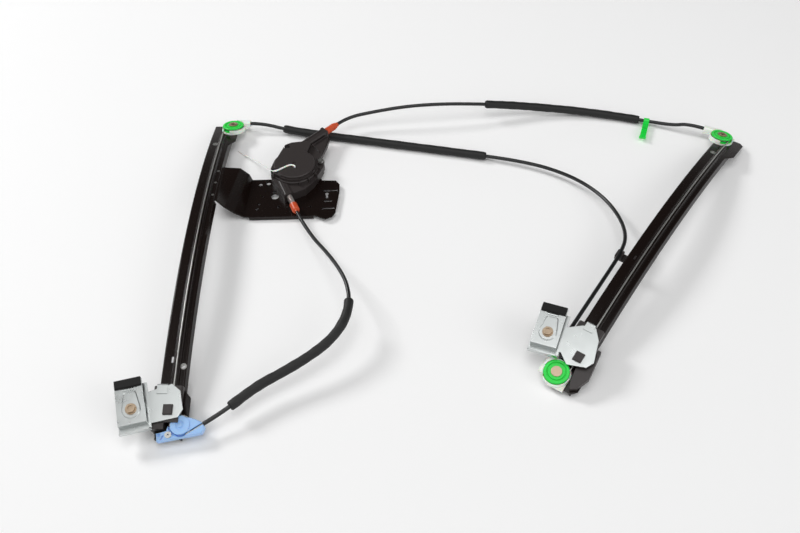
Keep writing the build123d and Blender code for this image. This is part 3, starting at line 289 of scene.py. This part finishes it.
def grid_mesh(name, points, wrap_rows=False, wrap_columns=False, caps=False):
    """Mesh from a grid of points in millimetres, rows by columns, as one smooth surface.

    Each cell of the grid is a quad. Rows or columns can close on themselves, and open row ends
    of a closed tube can be capped with one polygon each.
    """
    rows, columns = points.shape[:2]
    index = np.arange(rows * columns).reshape(rows, columns)
    if wrap_rows:
        index = np.vstack([index, index[:1]])
    if wrap_columns:
        index = np.hstack([index, index[:, :1]])
    quads = np.stack([index[:-1, :-1], index[:-1, 1:], index[1:, 1:], index[1:, :-1]], axis=-1)
    faces = quads.reshape(-1, 4).tolist()
    if caps:
        faces += [index[0, :columns][::-1].tolist(), index[-1, :columns].tolist()]
    mesh = bpy.data.meshes.new(name)
    mesh.from_pydata((points.reshape(-1, 3) * MM).tolist(), [], faces)
    mesh.polygons.foreach_set("use_smooth", [True] * len(mesh.polygons))
    mesh.validate()
    made = bpy.data.objects.new(name, mesh)
    bpy.context.collection.objects.link(made)
    return made


def path_axes(path):
    """Two directions across a path at each of its points.

    The side direction is level, square to the path's tangent; the other completes the pair.
    """
    tangent = np.gradient(path, axis=0)
    tangent /= np.linalg.norm(tangent, axis=1)[:, None]
    side = np.cross(tangent, [0.0, 0.0, 1.0])
    side /= np.linalg.norm(side, axis=1)[:, None]
    return side, np.cross(side, tangent)


def tube_grid(path, radius, around):
    """Grid of a round tube: a circle of the given radius carried along the path.

    The radius is one number, one for each point of the path, or a grid of rows by columns.
    """
    side, up = path_axes(path)
    angle = np.linspace(0, 2 * np.pi, around, endpoint=False)
    radius = np.broadcast_to(np.asarray(radius, float).reshape(-1, 1)
                             if np.ndim(radius) < 2 else radius, (len(path), around))
    ring = (np.cos(angle)[None, :, None] * side[:, None]
            + np.sin(angle)[None, :, None] * up[:, None])
    return path[:, None] + radius[..., None] * ring


def spline_points(points, count):
    """Points on the quadratic spline that the cable's curve also follows, even in parameter.

    Each point blends three neighbours of the route with the spline's clamped, even knots.
    """
    route = np.array(points, float)
    spans = len(route) - 2
    u = np.linspace(0.0, 1.0, count) * spans
    i = np.minimum(u.astype(int), spans - 1)

    def knot(j):
        return np.clip(j, 0, spans).astype(float)

    def blend(a, b, low, high):
        share = ((u - low) / (high - low))[:, None]
        return a * (1 - share) + b * share

    first = blend(route[i], route[i + 1], knot(i - 1), knot(i + 1))
    second = blend(route[i + 1], route[i + 2], knot(i), knot(i + 2))
    return blend(first, second, knot(i), knot(i + 1))


def run_length(path):
    """Length along a path."""
    return float(np.linalg.norm(np.diff(path, axis=0), axis=1).sum())


def part_of_path(path, start, stop, count):
    """A stretch of a path between two shares of its length, evenly spaced."""
    steps = np.linalg.norm(np.diff(path, axis=0), axis=1)
    along = np.concatenate([[0.0], np.cumsum(steps)])
    wanted = np.linspace(start, stop, count) * along[-1]
    return np.stack([np.interp(wanted, along, path[:, k]) for k in range(3)], axis=1)


# ---------------------------------------------------------------- shapes of the pieces

def foam_radius(radius):
    """Radius of a foam sleeve along its length: a little uneven, with rounded ends."""
    wave = np.arange(FOAM_ROWS) / FOAM_ROWS * 2 * np.pi
    fast, slow = FOAM_WAVES
    swell = np.sin(fast * wave + FOAM_PHASE) * np.sin(slow * wave)
    outer = radius - FOAM_DEPTH + FOAM_UNEVEN * swell
    ends = len(FOAM_ROUNDING)
    outer[:ends] = radius - FOAM_ROUNDING
    outer[-ends:] = radius - FOAM_ROUNDING[::-1]
    return outer


def bend_points(seat):
    """Arc of wire round a pulley, from its leaving point to the rail's tangent point."""
    rail, end, side, _, _ = SEATS[seat]
    centre = np.array([side * GROOVE_RADIUS, 0.0, 0.0])
    start, stop = leave_point(seat) - centre, -centre
    first, last = np.arctan2(start[1], start[0]), np.arctan2(stop[1], stop[0])
    turn = -end * side
    sweep = (turn * (last - first)) % (2 * np.pi)
    angle = first + turn * np.linspace(0, sweep, BEND_POINTS)
    local = np.stack([np.cos(angle), np.sin(angle), 0 * angle], axis=1) * GROOVE_RADIUS + centre
    return end_points(rail, end, local)


def rope_path(rail, head, foot):
    """Centre line of the bare wire: nose, head pulley, the rail's arc, pulley or guide, nose."""
    crown = rail_points(rail, np.linspace(wire_length(rail), 0, ARC_POINTS))
    first, last = beyond_seat(head), beyond_seat(foot)
    return np.vstack([first[None], bend_points(head), crown[1:-1], bend_points(foot)[::-1],
                      last[None]])


def rope_radius(path, radius, strands, lay):
    """Radius of a stranded rope: round lobes that turn once around in each lay length."""
    along = np.linspace(0, run_length(path), len(path))[:, None]
    angle = np.linspace(0, 2 * np.pi, COLUMNS_PER_STRAND * strands, endpoint=False)[None]
    phase = strands * (angle - 2 * np.pi * along / lay) / 2
    return radius * (ROPE_VALLEY + (1 - ROPE_VALLEY) * np.abs(np.cos(phase)))


def spring_grid(start, stop, radius, wire, turns):
    """Helix of round wire: the centre line winds round the axis as it runs from end to end."""
    axis = (stop - start) / np.linalg.norm(stop - start)
    side = np.cross(axis, [0.0, 0.0, 1.0])
    side /= np.linalg.norm(side)
    up = np.cross(side, axis)
    share = np.linspace(0, 1, COIL_ROWS)
    angle = 2 * np.pi * turns * share
    spoke = np.cos(angle)[:, None] * side + np.sin(angle)[:, None] * up
    line = start + share[:, None] * (stop - start) + radius * spoke
    around = np.linspace(0, 2 * np.pi, COIL_COLUMNS, endpoint=False)
    ring = np.cos(around)[None, :, None] * spoke[:, None] + np.sin(around)[None, :, None] * axis
    return line[:, None] + wire * ring


# ---------------------------------------------------------------- finishes

def new_material(name):
    """Material with an empty surface shader, and its node tree's shader."""
    material = bpy.data.materials.new(name)
    material.use_nodes = True
    return material, material.node_tree.nodes["Principled BSDF"]


def add_node(material, kind, settings=None, links=None):
    """Add a node, set its properties and sockets, and link its sockets to outputs.

    A setting whose name is a socket sets that socket's value; others set node properties.
    """
    node = material.node_tree.nodes.new(kind)
    for key, value in (settings or {}).items():
        if key in node.inputs:
            node.inputs[key].default_value = value
        else:
            setattr(node, key, value)
    for key, output in (links or {}).items():
        material.node_tree.links.new(output, node.inputs[key])
    return node


def set_shader(shader, **values):
    """Set a shader's sockets by name, with underscores for spaces in the names."""
    for key, value in values.items():
        shader.inputs[key.replace("_", " ")].default_value = value


def grain(material, shader, size_mm, strength, depth_mm, detail=4.0, roughness=None,
          edge_mm=0.3):
    """Bump and roughness from noise of a real grain size, over edges eased by a small radius."""
    place = add_node(material, "ShaderNodeTexCoord")
    noise = add_node(material, "ShaderNodeTexNoise",
                     {"Scale": 1 / (size_mm * MM), "Detail": detail},
                     {"Vector": place.outputs["Object"]})
    bump = add_node(material, "ShaderNodeBump", {"Strength": strength, "Distance": depth_mm * MM},
                    {"Height": noise.outputs["Fac"]})
    eased = add_node(material, "ShaderNodeBevel", {"Radius": edge_mm * MM, "samples": 6})
    material.node_tree.links.new(eased.outputs["Normal"], bump.inputs["Normal"])
    material.node_tree.links.new(bump.outputs["Normal"], shader.inputs["Normal"])
    if roughness:
        spread = add_node(material, "ShaderNodeMapRange",
                          {"To Min": roughness[0], "To Max": roughness[1]},
                          {"Value": noise.outputs["Fac"]})
        material.node_tree.links.new(spread.outputs["Result"], shader.inputs["Roughness"])


def rgba(value):
    """Colour property as a socket value."""
    return (*value, 1.0)


def electrocoat(colours):
    """Black electrocoat on pressed steel: a glossy film with a faint orange peel."""
    material, shader = new_material("electrocoat_on_steel")
    set_shader(shader, Base_Color=rgba(colours.paint), Roughness=0.24, IOR=1.5,
               Specular_IOR_Level=0.3)
    grain(material, shader, size_mm=2.2, strength=0.2, depth_mm=0.04, roughness=(0.18, 0.32),
          edge_mm=0.5)
    return material


def glass_filled_nylon(colours):
    """Moulded black glass-filled nylon: satin, with a fine sparked texture."""
    material, shader = new_material("glass_filled_nylon")
    set_shader(shader, Base_Color=rgba(colours.moulding), Roughness=0.42, IOR=1.53)
    grain(material, shader, size_mm=0.7, strength=0.35, depth_mm=0.05, roughness=(0.34, 0.52))
    return material


def zinc_plate(colours):
    """Zinc-plated steel: soft metal shine, cloudy where the plating varies."""
    material, shader = new_material("zinc_plate")
    set_shader(shader, Base_Color=rgba(colours.zinc), Metallic=1.0, Roughness=0.3)
    grain(material, shader, size_mm=12.0, strength=0.1, depth_mm=0.06, detail=2.0,
          roughness=(0.2, 0.4))
    return material


def yellow_passivate(colours):
    """Yellow-passivated zinc on pulley rivets and bolts: warm metal with uneven tone."""
    material, shader = new_material("yellow_passivated_zinc")
    set_shader(shader, Base_Color=rgba(colours.yellow_zinc), Metallic=1.0, Roughness=0.34)
    grain(material, shader, size_mm=1.5, strength=0.1, depth_mm=0.03, roughness=(0.26, 0.48))
    return material


def bright_steel(colours):
    """Drawn bright steel of the rope, springs and small rivets."""
    material, shader = new_material("drawn_steel")
    set_shader(shader, Base_Color=rgba(colours.steel), Metallic=1.0, Roughness=0.3)
    return material


def moulded_rubber(colours):
    """Moulded EPDM rubber: dull, with a soft bloom."""
    material, shader = new_material("moulded_epdm")
    set_shader(shader, Base_Color=rgba(colours.rubber), Roughness=0.62, IOR=1.5,
               Specular_IOR_Level=0.3)
    grain(material, shader, size_mm=1.0, strength=0.3, depth_mm=0.05)
    return material


def acetal(name, value, scatter):
    """Moulded acetal: smooth and waxy, and milky where it is not dyed."""
    material, shader = new_material(name)
    set_shader(shader, Base_Color=rgba(value), Roughness=0.34, IOR=1.48,
               Subsurface_Weight=scatter, Subsurface_Scale=1.5 * MM)
    grain(material, shader, size_mm=3.0, strength=0.08, depth_mm=0.03, roughness=(0.28, 0.42))
    return material


def pvc_sheath(colours):
    """Extruded PVC sheath of the outer cables: smooth and glossy."""
    material, shader = new_material("extruded_pvc")
    set_shader(shader, Base_Color=rgba(colours.sheath), Roughness=0.3, IOR=1.53)
    return material


def foam_skin(colours):
    """Closed-cell foam sleeve: a dull skin with fine pores."""
    material, shader = new_material("closed_cell_foam")
    set_shader(shader, Base_Color=rgba(colours.foam), Roughness=0.55, IOR=1.45)
    grain(material, shader, size_mm=0.8, strength=0.5, depth_mm=0.12, roughness=(0.45, 0.68))
    return material


# Materials made so far, by slot.
FINISHES = {}


def finish_of(slot):
    """Material of a slot, made once."""
    colours = bpy.context.scene.regulator_colours
    makers = {
        "black_paint": lambda: electrocoat(colours),
        "black_plastic": lambda: glass_filled_nylon(colours),
        "zinc": lambda: zinc_plate(colours),
        "yellow_zinc": lambda: yellow_passivate(colours),
        "steel": lambda: bright_steel(colours),
        "rubber": lambda: moulded_rubber(colours),
        "green_plastic": lambda: acetal("green_acetal", colours.green, 0.1),
        "white_plastic": lambda: acetal("milky_acetal", colours.milky, 0.35),
        "blue_plastic": lambda: acetal("blue_acetal", colours.blue, 0.15),
        "orange_plastic": lambda: acetal("orange_nylon", colours.orange, 0.05),
        "cable_sheath": lambda: pvc_sheath(colours),
        "foam": lambda: foam_skin(colours),
    }
    if slot not in FINISHES:
        FINISHES[slot] = makers[slot]()
    return FINISHES[slot]


def dress(made, slot, body, *nodes):
    """Give a piece its finish, the body it rides on and the CAD nodes it stands for."""
    made.data.materials.clear()
    made.data.materials.append(finish_of(slot))
    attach(made, body)
    if nodes:
        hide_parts(*nodes)
    return made


# ---------------------------------------------------------------- operators

class REGULATOR_OT_finishes(Operator):
    """Give every CAD node the finish of its material slot"""

    bl_idname = "regulator.finishes"
    bl_label = "Finishes"

    def execute(self, context):
        for entry in frame["record"]["subparts"]:
            node = frame["nodes"][entry["node"]]
            node.data.materials.clear()
            node.data.materials.append(finish_of(entry["material_slot"]))
        return {"FINISHED"}


class REGULATOR_OT_outer_cables(Operator):
    """Make the three outer cables as free cords between their sockets"""

    bl_idname = "regulator.outer_cables"
    bl_label = "Outer cables"

    def execute(self, context):
        diameter = context.scene.regulator_sizes.cable
        for name, route in ROUTES.items():
            curve = bpy.data.curves.new(name + "_cable", "CURVE")
            curve.dimensions = "3D"
            spline = curve.splines.new("NURBS")
            spline.points.add(len(route) - 1)
            flat = np.ones((len(route), 4))
            flat[:, :3] = np.array(route) * MM
            spline.points.foreach_set("co", flat.ravel())
            spline.order_u = 3
            spline.use_endpoint_u = True
            curve.resolution_u = 12
            curve.bevel_depth = diameter / 2
            curve.bevel_resolution = 5
            curve.use_fill_caps = True
            made = bpy.data.objects.new(name + "_cable", curve)
            context.collection.objects.link(made)
            dress(made, "cable_sheath", "frame", name + "_outer_cable")
            run_length(spline_points(route, 600)) * MM
        return {"FINISHED"}


class REGULATOR_OT_foam_sleeves(Operator):
    """Make the foam sleeves on the outer cables"""

    bl_idname = "regulator.foam_sleeves"
    bl_label = "Foam sleeves"

    def execute(self, context):
        radius = context.scene.regulator_sizes.foam / 2 / MM
        bore = context.scene.regulator_sizes.cable / 2 / MM + FOAM_CLEARANCE
        for name, (start, stop) in FOAM_SPAN.items():
            path = part_of_path(spline_points(ROUTES[name], ROUTE_POINTS), start, stop, FOAM_ROWS)
            shell = tube_grid(path, foam_radius(radius), FOAM_COLUMNS)
            inner = tube_grid(path, bore, FOAM_COLUMNS)[::-1]
            made = grid_mesh(name + "_sleeve", np.vstack([shell, inner]), wrap_rows=True,
                             wrap_columns=True)
            dress(made, "foam", "frame", name + "_foam")
        return {"FINISHED"}


class REGULATOR_OT_wire_ropes(Operator):
    """Make the bare stranded wire along each rail"""

    bl_idname = "regulator.wire_ropes"
    bl_label = "Wire ropes"

    def execute(self, context):
        sizes = context.scene.regulator_sizes
        for rail, head, foot in (("left", "left_head", "left_foot"),
                                 ("right", "right_head", "right_foot")):
            path = part_of_path(rope_path(rail, head, foot), 0.0, 1.0, ROPE_ROWS)
            radius = rope_radius(path, sizes.wire / 2 / MM, sizes.strands, sizes.lay / MM)
            made = grid_mesh(rail + "_rope", tube_grid(path, radius, radius.shape[1]),
                             wrap_columns=True, caps=True)
            dress(made, "steel", "frame", rail + "_wire")
        return {"FINISHED"}


class REGULATOR_OT_springs(Operator):
    """Make the compression springs behind the ferrules"""

    bl_idname = "regulator.springs"
    bl_label = "Springs"

    def execute(self, context):
        for arm, (low, high, turns) in SPRINGS.items():
            grid = spring_grid(beyond_arm(arm, low + SPRING_INSET),
                               beyond_arm(arm, high - SPRING_INSET),
                               SPRING_RADIUS, SPRING_WIRE_RADIUS, turns)
            made = grid_mesh(arm + "_coil", grid, wrap_columns=True, caps=True)
            dress(made, "steel", "frame", arm + "_spring")
        return {"FINISHED"}


# Name, place and size in metres, power in watts, and the point it faces.
LIGHTS = [("window", (-2.9, 1.9, 2.6), 1.25, 80.0, (0.0, 0.0, 0.0)),
          ("overhead", (-0.1, -0.3, 2.6), 1.8, 17.0, (0.0, 0.0, 0.0)),
          ("fill", (2.0, -1.4, 1.6), 1.6, 11.0, (0.0, 0.0, 0.0))]
# Camera's place and sensor in millimetres, and the picture's width and height in pixels.
CAMERA_PLACE = (-88.108, -840.069, 941.626)
SENSOR_WIDTH = 36.0
PICTURE_SIZE = (800, 533)


class REGULATOR_OT_stage(Operator):
    """Set the table, the soft lights and the camera"""

    bl_idname = "regulator.stage"
    bl_label = "Stage"

    def execute(self, context):
        stage = context.scene.regulator_stage
        place_camera(context, stage)
        corners = TABLE_HALF * np.array([[[-1, -1, 0], [1, -1, 0]], [[-1, 1, 0], [1, 1, 0]]])
        floor = grid_mesh("table", corners)
        material, shader = new_material("white_laminate")
        set_shader(shader, Base_Color=rgba(stage.floor), Roughness=0.6)
        floor.data.materials.append(material)
        for name, place, size, power, aim in LIGHTS:
            lamp = bpy.data.lights.new(name, "AREA")
            lamp.shape = "DISK"
            lamp.size = size
            lamp.energy = power
            made = bpy.data.objects.new(name, lamp)
            made.location = place
            made.rotation_euler = (Vector(aim) - Vector(place)).to_track_quat("-Z", "Y").to_euler()
            context.collection.objects.link(made)
        paint_world(context)
        context.scene.view_settings.view_transform = "Standard"
        return {"FINISHED"}


def place_camera(context, stage):
    """Camera in front of the regulator and above it, level but for its roll."""
    lens = bpy.data.cameras.new("camera")
    lens.lens = stage.focal
    lens.sensor_width = SENSOR_WIDTH
    camera = bpy.data.objects.new("camera", lens)
    tilt = Matrix.Rotation(radians(90) - stage.pitch, 4, "X")
    camera.matrix_world = (Matrix.Translation(Vector(CAMERA_PLACE) * MM) @ tilt
                           @ Matrix.Rotation(stage.roll, 4, "Z"))
    context.collection.objects.link(camera)
    context.scene.camera = camera
    context.scene.render.resolution_x, context.scene.render.resolution_y = PICTURE_SIZE


def paint_world(context):
    """Room round the table: pale near the horizon and in front, dark high up behind.

    The strength eases from pale to dark with the height of the direction, behind the table only.
    """
    world = bpy.data.worlds.new("studio")
    context.scene.world = world
    world.use_nodes = True
    background = world.node_tree.nodes["Background"]
    background.inputs["Color"].default_value = (1.0, 1.0, 1.0, 1.0)
    place = add_node(world, "ShaderNodeTexCoord")
    part = add_node(world, "ShaderNodeSeparateXYZ", links={"Vector": place.outputs["Generated"]})
    high = add_node(world, "ShaderNodeMapRange",
                    {"From Min": 0.08, "From Max": 0.4, "interpolation_type": "SMOOTHSTEP"},
                    {"Value": part.outputs["Z"]})
    behind = add_node(world, "ShaderNodeMapRange",
                      {"From Min": -0.25, "From Max": 0.25, "interpolation_type": "SMOOTHSTEP"},
                      {"Value": part.outputs["Y"]})
    dark = add_node(world, "ShaderNodeMath", {"operation": "MULTIPLY"})
    world.node_tree.links.new(high.outputs["Result"], dark.inputs[0])
    world.node_tree.links.new(behind.outputs["Result"], dark.inputs[1])
    strength = add_node(world, "ShaderNodeMapRange", {"To Min": 0.68, "To Max": 0.08},
                        {"Value": dark.outputs["Value"]})
    world.node_tree.links.new(strength.outputs["Result"], background.inputs["Strength"])


# ---------------------------------------------------------------- panel and registration

STEPS = (REGULATOR_OT_finishes, REGULATOR_OT_foam_sleeves, REGULATOR_OT_outer_cables,
         REGULATOR_OT_wire_ropes, REGULATOR_OT_springs, REGULATOR_OT_stage)


class REGULATOR_PT_panel(Panel):
    """Sidebar panel that lists the regulator's steps and settings"""

    bl_idname = "REGULATOR_PT_panel"
    bl_label = "Window regulator"
    bl_space_type = "VIEW_3D"
    bl_region_type = "UI"
    bl_category = "Regulator"

    def draw(self, context):
        for step in STEPS:
            self.layout.operator(step.bl_idname)
        for group in (context.scene.regulator_sizes, context.scene.regulator_colours,
                      context.scene.regulator_stage):
            box = self.layout.box()
            for key in group.__annotations__:
                box.prop(group, key)


CLASSES = (RegulatorColours, RegulatorSizes, RegulatorStage, *STEPS, REGULATOR_PT_panel)


def register():
    for entry in CLASSES:
        bpy.utils.register_class(entry)
    bpy.types.Scene.regulator_colours = PointerProperty(type=RegulatorColours)
    bpy.types.Scene.regulator_sizes = PointerProperty(type=RegulatorSizes)
    bpy.types.Scene.regulator_stage = PointerProperty(type=RegulatorStage)


def unregister():
    del bpy.types.Scene.regulator_stage
    del bpy.types.Scene.regulator_sizes
    del bpy.types.Scene.regulator_colours
    for entry in reversed(CLASSES):
        bpy.utils.unregister_class(entry)


def main():
    """Run every step."""
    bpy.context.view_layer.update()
    register()
    bpy.ops.regulator.finishes()
    bpy.ops.regulator.foam_sleeves()
    bpy.ops.regulator.outer_cables()
    bpy.ops.regulator.wire_ropes()
    bpy.ops.regulator.springs()
    bpy.ops.regulator.stage()


if __name__ == "__main__":
    main()
